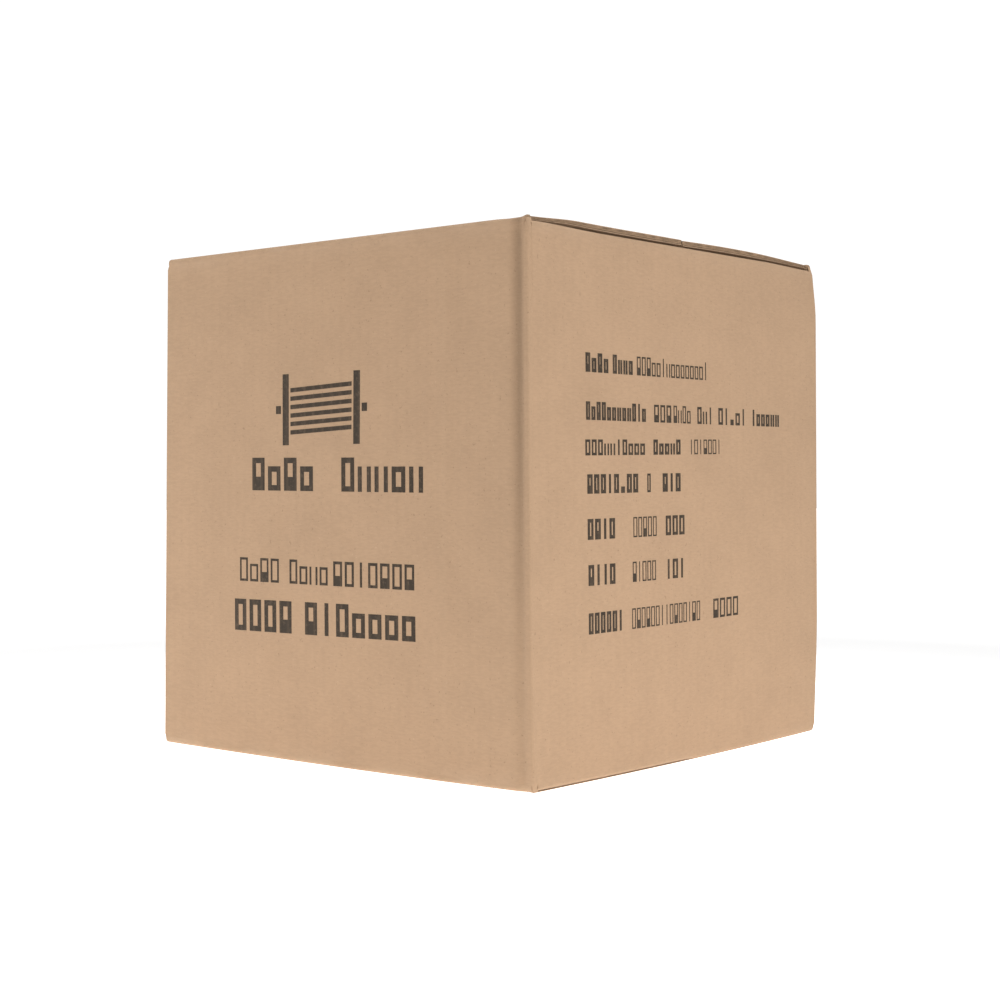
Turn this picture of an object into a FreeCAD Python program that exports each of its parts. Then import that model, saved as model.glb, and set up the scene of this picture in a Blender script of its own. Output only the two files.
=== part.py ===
"""Cable spool box: a corrugated slotted carton that holds a reel of network cable on an axle.

Millimetres. +Z is up, -Y is the front and +X the right side. The origin is the middle of the base.
"""
import FreeCAD, Part
import math
import os
import Sketcher

Vector = FreeCAD.Vector

# Driving dimensions. Each is a named cell of the sheet.
SIZES = {
    # carton
    "box_width": 310, "box_depth": 310, "box_height": 320, "board": 4,
    "fold_radius": 2.5, "corner_radius": 3, "flap_gap": 1.5, "outer_flap_inset": 2, "inner_flap_inset": 5,
    "fold_inset": 1, "glue_tab_width": 60, "glue_tab_clear": 2,
    # pads that hold the reel
    "pad_board": 4, "pad_clear": 1, "end_pad_thick": 8, "axle_hole_clear": 0.2,
    # pull-out tab of the back wall
    "tab_width": 50, "tab_rise": 50, "tab_base": 240, "tab_clear": 0.4,
    # reel
    "side_play": 2.5, "flange_radius": 143, "flange_thick": 9, "collar_thick": 2.5, "collar_radius": 22,
    "core_radius": 60, "core_wall": 5, "core_seat": 3, "bush_radius": 15, "bush_inner_reach": 2,
    "axle_radius": 11, "axle_bore": 8, "axle_end_clear": 0.5, "running_clear": 0.05,
    # tie bolts
    "bolt_inset": 12, "bolt_radius": 2.5, "bolt_hole_clear": 0.25, "recess_radius": 9, "recess_depth": 6,
    "washer_radius": 7.5, "washer_thick": 1.2, "nut_radius": 4.6, "nut_thick": 4, "bolt_proud": 0.4,
    # cable
    "cable_diameter": 6.2, "layer_pitch": 5.5, "full_layers": 12, "last_layer_turns": 16,
    "tape_width": 25, "tape_thick": 0.4,
}


class Term:
    """A length that knows its number now and the sheet expression that gives it."""

    def __init__(self, text, value):
        self.text, self.value = text, value

    def __add__(self, other):
        other = term(other)
        return Term(f"({self.text} + {other.text})", self.value + other.value)

    def __sub__(self, other):
        other = term(other)
        return Term(f"({self.text} - {other.text})", self.value - other.value)

    def __mul__(self, other):
        other = term(other)
        return Term(f"({self.text} * {other.text})", self.value * other.value)

    def __truediv__(self, other):
        other = term(other)
        return Term(f"({self.text} / {other.text})", self.value / other.value)

    def __neg__(self):
        return Term(f"(-1 * {self.text})", -self.value)

    def root(self):
        return Term(f"sqrt({self.text})", math.sqrt(self.value))


def term(value):
    return value if isinstance(value, Term) else Term(repr(float(value)), float(value))


def size(name):
    return Term(f"Sizes.{name}", float(SIZES[name]))


doc = FreeCAD.newDocument("CableSpoolBox")
sheet = doc.addObject("Spreadsheet::Sheet", "Sizes")
for row, (name, number) in enumerate(SIZES.items(), start=1):
    sheet.set(f"A{row}", name)
    sheet.set(f"B{row}", str(number))
    sheet.setAlias(f"B{row}", name)
doc.recompute()

nodes = []


def node(piece, label):
    """Gives a finished sub-part the label that names its file."""
    piece.Label = label
    nodes.append(piece)
    return piece


def bind(piece, **terms):
    """Ties properties such as Length, or Placement's x, y and z, to the sheet."""
    for name, value in terms.items():
        path = f"Placement.Base.{name}" if name in ("x", "y", "z") else name
        piece.setExpression(path, term(value).text)


def block(name, low, high):
    """An upright box between two corners."""
    piece = doc.addObject("Part::Box", name)
    bind(piece, Length=high[0] - low[0], Width=high[1] - low[1], Height=high[2] - low[2])
    bind(piece, x=low[0], y=low[1], z=low[2])
    return piece


def rod(name, direction, start, radius, length):
    """A cylinder from a start point along a direction."""
    piece = doc.addObject("Part::Cylinder", name)
    piece.Placement = FreeCAD.Placement(Vector(), FreeCAD.Rotation(Vector(0, 0, 1), direction))
    bind(piece, Radius=radius, Height=length, x=start[0], y=start[1], z=start[2])
    return piece


def hexagon(name, start, radius, length):
    """A hexagonal bar along +X from a start point."""
    piece = doc.addObject("Part::Prism", name)
    piece.Polygon = 6
    piece.Placement = FreeCAD.Placement(Vector(), FreeCAD.Rotation(Vector(0, 0, 1), ALONG_X))
    bind(piece, Circumradius=radius, Height=length, x=start[0], y=start[1], z=start[2])
    return piece


def cut(name, base, tool):
    piece = doc.addObject("Part::Cut", name)
    piece.Base, piece.Tool = base, tool
    return piece


def fuse(name, shapes):
    piece = doc.addObject("Part::MultiFuse", name)
    piece.Shapes = shapes
    return piece


def compound(name, members):
    piece = doc.addObject("Part::Compound", name)
    piece.Links = members
    return piece


def outline(body, role, corners, rounds=None):
    """A closed sketch on an origin plane; rounds maps a side's number to (radius, centre) of its arc."""
    rounds = rounds or {}
    sketch = body.newObject("Sketcher::SketchObject", f"{body.Name}_{role}")
    plane = next(item for item in body.Origin.OriginFeatures if item.Role == role)
    sketch.AttachmentSupport, sketch.MapMode = (plane, [""]), "FlatFace"
    points = [Vector(u.value, w.value, 0) for u, w in corners]
    for side, start in enumerate(points):
        end = points[(side + 1) % len(points)]
        if side in rounds:
            radius, centre = rounds[side][0].value, Vector(rounds[side][1][0].value, rounds[side][1][1].value, 0)
            middle = ((start + end) / 2 - centre).normalize() * radius + centre
            sketch.addGeometry(Part.Arc(start, middle, end))
        else:
            sketch.addGeometry(Part.LineSegment(start, end))
    ends = [(side, *arc_ends(sketch, side, points[side])) for side in range(len(points))]
    for side, first, last in ends:
        following, follow_first, _ = ends[(side + 1) % len(points)]
        sketch.addConstraint(Sketcher.Constraint("Coincident", side, last, following, follow_first))
    for side, first, last in ends:
        for kind, value in zip(("DistanceX", "DistanceY"), corners[side]):
            place = sketch.addConstraint(Sketcher.Constraint(kind, -1, 1, side, first, value.value))
            sketch.setExpression(f"Constraints[{place}]", value.text)
    for side, (radius, centre) in rounds.items():
        place = sketch.addConstraint(Sketcher.Constraint("Radius", side, radius.value))
        sketch.setExpression(f"Constraints[{place}]", radius.text)
    return sketch


def arc_ends(sketch, side, start):
    """Which end numbers of a side are its first and last point, because arcs always run anticlockwise."""
    forward = (sketch.getPoint(side, 1) - start).Length < 1e-6
    return (1, 2) if forward else (2, 1)


def pad(body, sketch, length, symmetric=False):
    feature = body.newObject("PartDesign::Pad", f"{body.Name}_pad")
    feature.Profile = (sketch, [""])
    feature.SideType = "Symmetric" if symmetric else "One side"
    bind(feature, Length=length)
    return feature


def revolved(name, corners):
    """A ring turned about the reel's axis from (x, radius) corners."""
    body = doc.addObject("PartDesign::Body", name)
    sketch = outline(body, "XZ_Plane", corners)
    turn = body.newObject("PartDesign::Revolution", f"{name}_turn")
    turn.Profile, turn.ReferenceAxis, turn.Angle = (sketch, [""]), (sketch, ["H_Axis"]), 360
    bind(body, z=reel_height)
    return body


ALONG_X, ALONG_Y = Vector(1, 0, 0), Vector(0, 1, 0)
ZERO, HALF_TURN = term(0), 180

half_width, half_depth = size("box_width") / 2, size("box_depth") / 2
board, height = size("board"), size("box_height")
inner_x, inner_y = half_width - board, half_depth - board

# --- carton walls ---------------------------------------------------------------------------------


def long_wall(name, side):
    """A front (side -1) or back (side 1) wall, whose outer upright edges are rounded."""
    body = doc.addObject("PartDesign::Body", name)
    soft, outer = size("corner_radius"), half_depth * side
    corners = [(-half_width, inner_y * side), (half_width, inner_y * side),
               (half_width, outer - soft * side), (half_width - soft, outer),
               (soft - half_width, outer), (-half_width, outer - soft * side)]
    centres = {2: (half_width - soft, outer - soft * side), 4: (soft - half_width, outer - soft * side)}
    sketch = outline(body, "XY_Plane", corners, {edge: (soft, place) for edge, place in centres.items()})
    pad(body, sketch, height - board * 2)
    bind(body, z=board)
    return body


def arch(name, clearance):
    """The pull-out tab's outline, straight up and then half round, drawn through the back wall."""
    reach = size("tab_width") / 2 - clearance
    shoulder = size("tab_base") + size("tab_rise") - size("tab_width") / 2
    low, through = inner_y - board, board * 3
    straight = block(f"{name}_straight", (-reach, low, size("tab_base") + clearance), (reach, low + through, shoulder))
    top = rod(f"{name}_top", -ALONG_Y, (ZERO, low + through, shoulder), reach, through)
    top.Angle = HALF_TURN
    return fuse(f"{name}_outline", [straight, top])


node(long_wall("front_wall", -1), "front_wall")
back_blank = long_wall("back_wall_blank", 1)
node(cut("back_wall", back_blank, arch("payout_hole", ZERO)), "back_wall")
for name, side in (("left_wall", -1), ("right_wall", 1)):
    near, far = (-half_width, -inner_x) if side < 0 else (inner_x, half_width)
    node(block(name, (near, -inner_y, board * 2), (far, inner_y, height - board * 2)), name)

tab_foot = board * 2 + size("pad_board") + size("glue_tab_clear")
node(block("glue_tab", (inner_x - size("glue_tab_width"), -inner_y, tab_foot),
           (inner_x, board - inner_y, height - tab_foot)), "glue_tab")

# --- flaps: each is a board whose hinged end is round about its fold line ------------------------------

fold_inset, fold_radius = size("fold_inset"), size("fold_radius")
hinge_reach = board - fold_inset
fold_lift = hinge_reach - (hinge_reach * hinge_reach - fold_inset * fold_inset).root()


def flap(name, role, side, half, width, face, up):
    """A flap from the wall's outer face at half to the middle; up is 1 on top and -1 below."""
    body = doc.addObject("PartDesign::Body", name)
    free, under = size("flap_gap") / 2 * side, face - board * up
    corners = [(free, under), (free, face), ((half - fold_radius) * side, face),
               (half * side, face - fold_radius * up), (half * side, under + fold_lift * up),
               ((half - fold_inset) * side, under)]
    centres = {2: (fold_radius, ((half - fold_radius) * side, face - fold_radius * up)),
               4: (hinge_reach, ((half - fold_inset) * side, face - fold_inset * up))}
    pad(body, outline(body, role, corners, centres), width, symmetric=True)
    node(body, name)


for level, face, up in (("top", height, 1), ("bottom", ZERO, -1)):
    for place, side in (("front", -1), ("back", 1)):
        width = size("box_width") - size("outer_flap_inset") * 2
        flap(f"{place}_{level}_flap", "YZ_Plane", side, half_depth, width, face, up)
    for place, side in (("left", -1), ("right", 1)):
        width = size("box_depth") - size("inner_flap_inset") * 2
        flap(f"{place}_{level}_flap", "XZ_Plane", side, half_width, width, face - board * up, up)

# --- pull-out tab: round about its fold at the foot, so that it swings out -----------------------------

tab_foot_z = size("tab_base") + size("tab_clear")
tab_top_z = size("tab_base") + size("tab_rise") + board
tab_axis_z = tab_foot_z + hinge_reach
tab_blank = doc.addObject("PartDesign::Body", "payout_tab_blank")
tab_corners = [(inner_y, tab_axis_z), (half_depth - fold_inset, tab_foot_z),
               (half_depth, tab_foot_z + fold_lift), (half_depth, tab_top_z), (inner_y, tab_top_z)]
tab_rounds = {edge: (hinge_reach, (half_depth - fold_inset, tab_axis_z)) for edge in (0, 1)}
pad(tab_blank, outline(tab_blank, "YZ_Plane", tab_corners, tab_rounds), size("tab_width"), symmetric=True)
payout_tab = doc.addObject("Part::Common", "payout_tab")
payout_tab.Base, payout_tab.Tool = tab_blank, arch("payout_tab", size("tab_clear"))
node(payout_tab, "payout_tab")

# --- pads and axle -------------------------------------------------------------------------------

pad_x, pad_y = inner_x - size("pad_clear"), inner_y - size("pad_clear")
pad_low, pad_high = board * 2, board * 2 + size("pad_board")
node(block("bottom_pad", (-pad_x, -pad_y, pad_low), (pad_x, pad_y, pad_high)), "bottom_pad")
node(block("top_pad", (-pad_x, -pad_y, height - pad_high), (pad_x, pad_y, height - pad_low)), "top_pad")

reel_height = height / 2
end_inner = inner_x - size("end_pad_thick")
end_front = board + size("pad_clear") - inner_y
for name, side in (("left_end_pad", -1), ("right_end_pad", 1)):
    near, far = (-inner_x, -end_inner) if side < 0 else (end_inner, inner_x)
    panel = block(f"{name}_panel", (near, end_front, pad_high), (far, pad_y, height - pad_high))
    hole = rod(f"{name}_hole", ALONG_X, (near, ZERO, reel_height),
               size("axle_radius") + size("axle_hole_clear"), size("end_pad_thick"))
    node(cut(name, panel, hole), name)

axle_half = inner_x - size("axle_end_clear")
axle_start = (-axle_half, ZERO, reel_height)
node(cut("axle_tube", rod("axle_outside", ALONG_X, axle_start, size("axle_radius"), axle_half * 2),
         rod("axle_inside", ALONG_X, axle_start, size("axle_bore"), axle_half * 2)), "axle_tube")

# --- reel ----------------------------------------------------------------------------------------

flange_outer = end_inner - size("side_play") - size("collar_thick")
flange_inner = flange_outer - size("flange_thick")
core_outer, core_inner = size("core_radius"), size("core_radius") - size("core_wall")
seat = flange_inner + size("core_seat")
bush_radius, rim = size("bush_radius"), size("flange_radius")
recess_floor = flange_outer - size("recess_depth")
bolt_circle = core_inner - size("bolt_inset")


def around(count=4):
    """Angles of the tie bolts, an eighth of a turn off the vertical."""
    return [math.pi / count * (2 * step + 1) for step in range(count)]


def bolt_place(angle, x):
    """A point on a tie bolt's centre line."""
    return (x, bolt_circle * math.cos(angle), reel_height + bolt_circle * math.sin(angle))


for name, side in (("left", -1), ("right", 1)):
    disc = revolved(f"{name}_flange_disc", [
        (flange_inner * side, bush_radius), (flange_inner * side, core_inner), (seat * side, core_inner),
        (seat * side, core_outer), (flange_inner * side, core_outer), (flange_inner * side, rim),
        (flange_outer * side, rim), (flange_outer * side, bush_radius)])
    low = flange_inner if side > 0 else -flange_outer
    floor = recess_floor if side > 0 else -flange_outer
    tools = []
    for step, angle in enumerate(around()):
        tools.append(rod(f"{name}_hole_{step}", ALONG_X, bolt_place(angle, low),
                         size("bolt_radius") + size("bolt_hole_clear"), size("flange_thick")))
        tools.append(rod(f"{name}_recess_{step}", ALONG_X, bolt_place(angle, floor),
                         size("recess_radius"), size("recess_depth")))
    node(cut(f"{name}_flange", disc, fuse(f"{name}_flange_holes", tools)), f"{name}_flange")

    bore = size("axle_radius") + size("running_clear")
    inside, face = flange_inner - size("bush_inner_reach"), flange_outer
    node(revolved(f"{name}_bush", [
        (inside * side, bore), (inside * side, bush_radius), (face * side, bush_radius),
        (face * side, size("collar_radius")), ((face + size("collar_thick")) * side, size("collar_radius")),
        ((face + size("collar_thick")) * side, bore)]), f"{name}_bush")

node(revolved("core_tube", [(-seat, core_inner), (seat, core_inner), (seat, core_outer), (-seat, core_outer)]),
     "core_tube")

bolts, washers, nuts = [], [], []
washer, nut = size("washer_thick"), size("nut_thick")
shank_start = -(recess_floor + washer)
shank_length = recess_floor * 2 + washer * 2 + nut + size("bolt_proud")
for step, angle in enumerate(around()):
    shank = rod(f"shank_{step}", ALONG_X, bolt_place(angle, shank_start), size("bolt_radius"), shank_length)
    head = hexagon(f"head_{step}", bolt_place(angle, shank_start - nut), size("nut_radius"), nut)
    bolts.append(fuse(f"bolt_{step}", [shank, head]))
    for end, start in (("left", -(recess_floor + washer)), ("right", recess_floor)):
        disc = rod(f"{end}_disc_{step}", ALONG_X, bolt_place(angle, start), size("washer_radius"), washer)
        eye = rod(f"{end}_eye_{step}", ALONG_X, bolt_place(angle, start), size("bolt_radius"), washer)
        washers.append(cut(f"{end}_washer_{step}", disc, eye))
    nut_start = bolt_place(angle, recess_floor + washer)
    blank = hexagon(f"nut_blank_{step}", nut_start, size("nut_radius"), nut)
    nuts.append(cut(f"nut_{step}", blank, rod(f"thread_{step}", ALONG_X, nut_start, size("bolt_radius"), nut)))
node(compound("tie_bolts", bolts), "tie_bolts")
node(compound("tie_washers", washers), "tie_washers")
node(compound("tie_nuts", nuts), "tie_nuts")

# --- cable: full layers across the reel and a last layer that stops part of the way ---------------------

cable = size("cable_diameter")
full_radius = core_outer + cable + size("layer_pitch") * (size("full_layers") - 1)
last_radius = full_radius + size("layer_pitch")
last_end = size("last_layer_turns") * cable - flange_inner
node(revolved("cable_winding", [
    (-flange_inner, core_outer), (flange_inner, core_outer), (flange_inner, full_radius),
    (last_end, full_radius), (last_end, last_radius), (-flange_inner, last_radius)]), "cable_winding")
tape_start = last_end - size("tape_width")
node(revolved("end_tape", [
    (tape_start, last_radius), (last_end, last_radius), (last_end, last_radius + size("tape_thick")),
    (tape_start, last_radius + size("tape_thick"))]), "end_tape")

# --- checks and files ----------------------------------------------------------------------------

doc.recompute()
faults = [item.Name for item in doc.Objects if "Invalid" in item.State or "Error" in item.State]
faults += [piece.Label for piece in nodes if piece.Shape.isNull() or not piece.Shape.isValid()]
if faults:
    raise SystemExit(f"failed objects: {faults}")
os.makedirs("parts", exist_ok=True)
for piece in nodes:
    piece.Shape.exportStep(f"parts/{piece.Label}.step")
    print(f"{piece.Label:20s} solids {len(piece.Shape.Solids)} volume {piece.Shape.Volume:12.1f}")

turns = 2 * flange_inner.value / cable.value
radii = [core_outer.value + cable.value / 2 + size("layer_pitch").value * layer
         for layer in range(SIZES["full_layers"] + 1)]
length = 2 * math.pi * (turns * sum(radii[:-1]) + SIZES["last_layer_turns"] * radii[-1])
print(f"cable on the reel: {length / 1000:.1f} m, {turns:.1f} turns a layer")
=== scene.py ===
"""Looks of a cable spool box: a fluted carton with folding flaps, its generic print, and the reel inside.

Lengths in the classes are millimetres and reach Blender through MM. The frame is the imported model's own:
+Z up, -Y the front, +X the right side, the origin in the middle of the base.
"""
import logging
import math
from dataclasses import dataclass
from enum import Enum
from typing import Any, Callable, Iterable, Sequence

import bpy
import numpy as np
from mathutils import Matrix, Vector


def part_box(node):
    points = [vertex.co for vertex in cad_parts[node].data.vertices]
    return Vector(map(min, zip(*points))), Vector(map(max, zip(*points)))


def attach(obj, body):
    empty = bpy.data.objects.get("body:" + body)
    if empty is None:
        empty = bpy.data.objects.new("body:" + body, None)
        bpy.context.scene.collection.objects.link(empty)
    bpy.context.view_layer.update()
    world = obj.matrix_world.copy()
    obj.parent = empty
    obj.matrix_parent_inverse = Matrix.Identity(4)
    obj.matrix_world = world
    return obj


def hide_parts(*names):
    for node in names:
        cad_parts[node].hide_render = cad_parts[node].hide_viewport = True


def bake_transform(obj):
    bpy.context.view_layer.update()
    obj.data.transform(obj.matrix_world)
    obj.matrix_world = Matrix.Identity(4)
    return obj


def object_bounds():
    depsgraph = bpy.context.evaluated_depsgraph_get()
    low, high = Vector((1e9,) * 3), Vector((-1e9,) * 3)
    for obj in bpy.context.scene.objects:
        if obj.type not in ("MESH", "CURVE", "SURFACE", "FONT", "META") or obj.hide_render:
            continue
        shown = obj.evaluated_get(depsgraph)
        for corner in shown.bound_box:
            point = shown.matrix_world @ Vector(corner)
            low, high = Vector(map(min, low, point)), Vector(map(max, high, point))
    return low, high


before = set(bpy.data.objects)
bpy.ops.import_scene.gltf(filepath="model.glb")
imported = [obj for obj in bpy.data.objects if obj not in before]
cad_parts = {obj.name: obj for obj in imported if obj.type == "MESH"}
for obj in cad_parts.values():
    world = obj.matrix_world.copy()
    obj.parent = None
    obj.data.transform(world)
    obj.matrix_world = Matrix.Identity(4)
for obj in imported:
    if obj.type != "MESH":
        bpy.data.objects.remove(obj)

CAD_BOX = [list(corner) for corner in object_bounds()]
MM = 0.001
FLUTE_PITCH = 7.8
FINE = FLUTE_PITCH / 2  # grid step across the flutes
MEDIUM_STEP = 7.5  # grid step out along a flap
COARSE = 12  # grid step along a plain board
TINY = 1e-9  # keeps a ray off a division by zero
Array = np.ndarray
Place = Callable[[Array, Array, Array], Array]
log = logging.getLogger("spool_box")


# --- surfaces -------------------------------------------------------------------------------------


@dataclass
class Surface:
    """Points in millimetres, four-cornered faces, and each point's mark from -1, dark with painted shade, to 1, pale
    with rubbing.
    """

    points: Array
    faces: Array
    wear_and_shade: Array

    def outward(self) -> "Surface":
        """Turns all the faces round if the closed skin's signed volume is negative.

        Returns:
            This surface, facing outwards.
        """
        a, b, c, d = (self.points[self.faces[:, side]] for side in range(4))
        volume = np.einsum("ij,ij->", a, np.cross(b, c)) + np.einsum("ij,ij->", a, np.cross(c, d))
        if volume < 0:
            self.faces = self.faces[:, ::-1]
        return self


def quads(index: Array) -> Array:
    """Four-cornered faces between neighbours in a grid of point numbers, one for each cell."""
    return np.stack([index[:-1, :-1], index[1:, :-1], index[1:, 1:], index[:-1, 1:]], -1).reshape(-1, 4)


def wrapped(rows: int, columns: int) -> Array:
    """Point numbers of a grid, with the first row again after the last, so that it closes on itself."""
    index = np.arange(rows * columns).reshape(rows, columns)
    return np.vstack([index, index[:1]])


def shell(outer: Array, inner: Array, wear_and_shade: Array | float = 0.0, closed: bool = False) -> Surface:
    """Closes the space between two grids that match point for point.

    Args:
        outer: Grid of points, rows by columns by 3.
        inner: The same grid on the other side of the sheet.
        wear_and_shade: One value, or a value for each grid point.
        closed: Whether the last row meets the first, as in a ring.

    Returns:
        A closed surface of both grids and the rims that join their edges.
    """
    rows, columns = outer.shape[:2]
    count = rows * columns
    index = wrapped(rows, columns) if closed else np.arange(count).reshape(rows, columns)
    front = quads(index)
    if closed:
        loops = [index[:, 0], index[::-1, -1]]
    else:
        loops = [np.concatenate([index[:-1, 0], index[-1, :-1], index[:0:-1, -1], index[0, :0:-1], index[:1, 0]])]
    rims = [np.stack([ring[1:], ring[:-1], ring[:-1] + count, ring[1:] + count], -1) for ring in loops]
    faces = np.vstack([front, front[:, ::-1] + count, *rims])
    grades = np.broadcast_to(np.asarray(wear_and_shade, float), (rows, columns)).reshape(-1)
    points = np.vstack([outer.reshape(-1, 3), inner.reshape(-1, 3)])
    return Surface(points, faces, np.concatenate([grades, grades])).outward()


def tube(points: Array, wear_and_shade: Array | float = 0.0) -> Surface:
    """A tube of matching rings with its ends filled in. A ring of an odd count leaves its middle triangle open.

    Args:
        points: Grid of points, round the ring by along the tube by 3.
        wear_and_shade: One value, or a value for each grid point.

    Returns:
        The tube, facing outwards.
    """
    rows, columns = points.shape[:2]
    index = wrapped(rows, columns)
    caps = [[index[k, end], index[k + 1, end], index[rows - 2 - k, end], index[rows - 1 - k, end]][::way]
            for end, way in ((0, -1), (-1, 1)) for k in range(rows // 2 - 1)]
    grades = np.broadcast_to(np.asarray(wear_and_shade, float), (rows, columns)).reshape(-1)
    return Surface(points.reshape(-1, 3), np.vstack([quads(index), caps]), grades).outward()


def join(parts: Iterable[Surface]) -> Surface:
    """Lays several surfaces into one, each with its own points.

    Args:
        parts: The surfaces, in order.

    Returns:
        One surface.
    """
    parts = list(parts)
    starts = np.cumsum([0] + [len(part.points) for part in parts[:-1]])
    return Surface(
        np.vstack([part.points for part in parts]),
        np.vstack([part.faces + start for part, start in zip(parts, starts)]),
        np.concatenate([part.wear_and_shade for part in parts]),
    )


def skin(curve: Array, sweep: Array, place: Place, thick: float, relief: Array | float = 0.0,
         wear_and_shade: Array | float = 0.0) -> Surface:
    """Carries a thin sheet's profile along a straight sweep.

    The outer face is curve + normal * relief, the inner face lies thick further in, and the normal is the
    curve's tangent turned a quarter, pointing away from the middle of the carton.

    Args:
        curve: Points (a, b) of the profile.
        sweep: Places along the sweep.
        place: Turns (a, b, sweep) into points.
        thick: The sheet's thickness.
        relief: Height of the outer face over the curve, profile points by sweep places.
        wear_and_shade: Wear over the same grid.

    Returns:
        The closed sheet.
    """
    tangent = np.gradient(curve, axis=0)
    normal = np.stack([tangent[:, 1], -tangent[:, 0]], -1)
    normal /= np.linalg.norm(normal, axis=1, keepdims=True)
    normal *= np.sign(np.sum(normal * curve)) or 1.0
    height = np.broadcast_to(relief, (len(curve), len(sweep)))

    def face(depth: float) -> Array:
        """The sheet's face at a depth under the curve."""
        rise = height - depth
        along = np.broadcast_to(sweep, rise.shape)
        return place(curve[:, :1] + normal[:, :1] * rise, curve[:, 1:] + normal[:, 1:] * rise, along)

    return shell(face(0.0), face(thick), wear_and_shade)


def extent(node: str) -> tuple[Array, Array]:
    """The low and high corners of a CAD node's box, in millimetres."""
    low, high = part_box(node)
    return np.array(low) / MM, np.array(high) / MM


def fan(count: int, corners: Iterable[tuple[float, float]]) -> Array:
    """Angles all the way round, with those of some corners among them.

    Args:
        count: Places in the even fan, its two ends being the same.
        corners: Each corner's run and rise from the centre.

    Returns:
        The angles, in rising order.
    """
    aimed = [math.atan2(rise, run) for run, rise in corners]
    return np.unique(np.round(np.concatenate([np.linspace(-math.pi, math.pi, count)[:-1], aimed]), 6))


def to_rectangle(angle: Array, right: float, left: float, up: float, down: float) -> Array:
    """Each ray's length from a point to the rectangle about it, the nearer of its upright and level crossings.

    Args:
        angle: The rays' angles.
        right: The rectangle's reach to the right of the point.
        left: Its reach to the left.
        up: Its reach upwards.
        down: Its reach downwards.

    Returns:
        The lengths.
    """
    c, s = np.cos(angle), np.sin(angle)
    return np.minimum(np.where(c >= 0, right, left) / np.maximum(np.abs(c), TINY),
                      np.where(s >= 0, up, down) / np.maximum(np.abs(s), TINY))


def arc(centre: tuple[float, float], radius: float, start: float, stop: float, steps: int = 7) -> Array:
    """A round stretch, centre + radius (cos, sin).

    Args:
        centre: Its centre.
        radius: Its radius.
        start: Its first angle in degrees.
        stop: Its last angle in degrees.
        steps: How many points it has.

    Returns:
        The points.
    """
    turn = np.radians(np.linspace(start, stop, steps))
    return np.stack([centre[0] + radius * np.cos(turn), centre[1] + radius * np.sin(turn)], -1)


def smooth(value: Array, low: float, high: float) -> Array:
    """0 below low, 1 above high, and an S curve 3t^2 - 2t^3 between."""
    share = np.clip((value - low) / (high - low), 0, 1)
    return share * share * (3 - 2 * share)


def hump(value: Array, middle: float, width: float) -> Array:
    """A bell, exp(-((value - middle) / width)^2)."""
    return np.exp(-(((value - middle) / width) ** 2))


def ripple(u: Array, v: Array, seed: int, reach: float) -> Array:
    """An uneven surface between about -1 and 1: the mean of nine sine waves of seeded slants and phases.

    Args:
        u: First coordinate.
        v: Second coordinate.
        seed: Chooses the waves.
        reach: The longest wave, in the coordinates' unit.

    Returns:
        The height at each point.
    """
    rng = np.random.default_rng(seed)
    total = np.zeros(np.broadcast(u, v).shape)
    for _ in range(9):
        slant, phase, scale = rng.uniform(0, 2 * np.pi, 2).tolist() + [rng.uniform(1, 3)]
        total += np.sin(2 * np.pi * scale / reach * (u * math.cos(slant) + v * math.sin(slant)) + phase)
    return total / 4.5


# --- shading --------------------------------------------------------------------------------------


class Wire:
    """A number that flows through a material. Python's operators on it add Math nodes."""

    def __init__(self, graph: "Graph", socket: bpy.types.NodeSocket) -> None:
        """Keeps the socket and the graph that it belongs to."""
        self.graph, self.socket = graph, socket

    def __add__(self, other: Any) -> "Wire":
        """self + other."""
        return self.graph.maths("ADD", self, other)

    def __sub__(self, other: Any) -> "Wire":
        """self - other."""
        return self.graph.maths("SUBTRACT", self, other)

    def __rsub__(self, other: Any) -> "Wire":
        """other - self."""
        return self.graph.maths("SUBTRACT", other, self)

    def __mul__(self, other: Any) -> "Wire":
        """self * other."""
        return self.graph.maths("MULTIPLY", self, other)

    def __neg__(self) -> "Wire":
        """0 - self."""
        return self * -1.0

    __radd__ = __add__
    __rmul__ = __mul__

    def above(self, low: float, high: float) -> "Wire":
        """0 at or under low, 1 at or over high, and straight between."""
        slope = 1.0 / (high - low)
        return self.graph.maths("MULTIPLY_ADD", self, slope, -low * slope, clamp=True)


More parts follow.
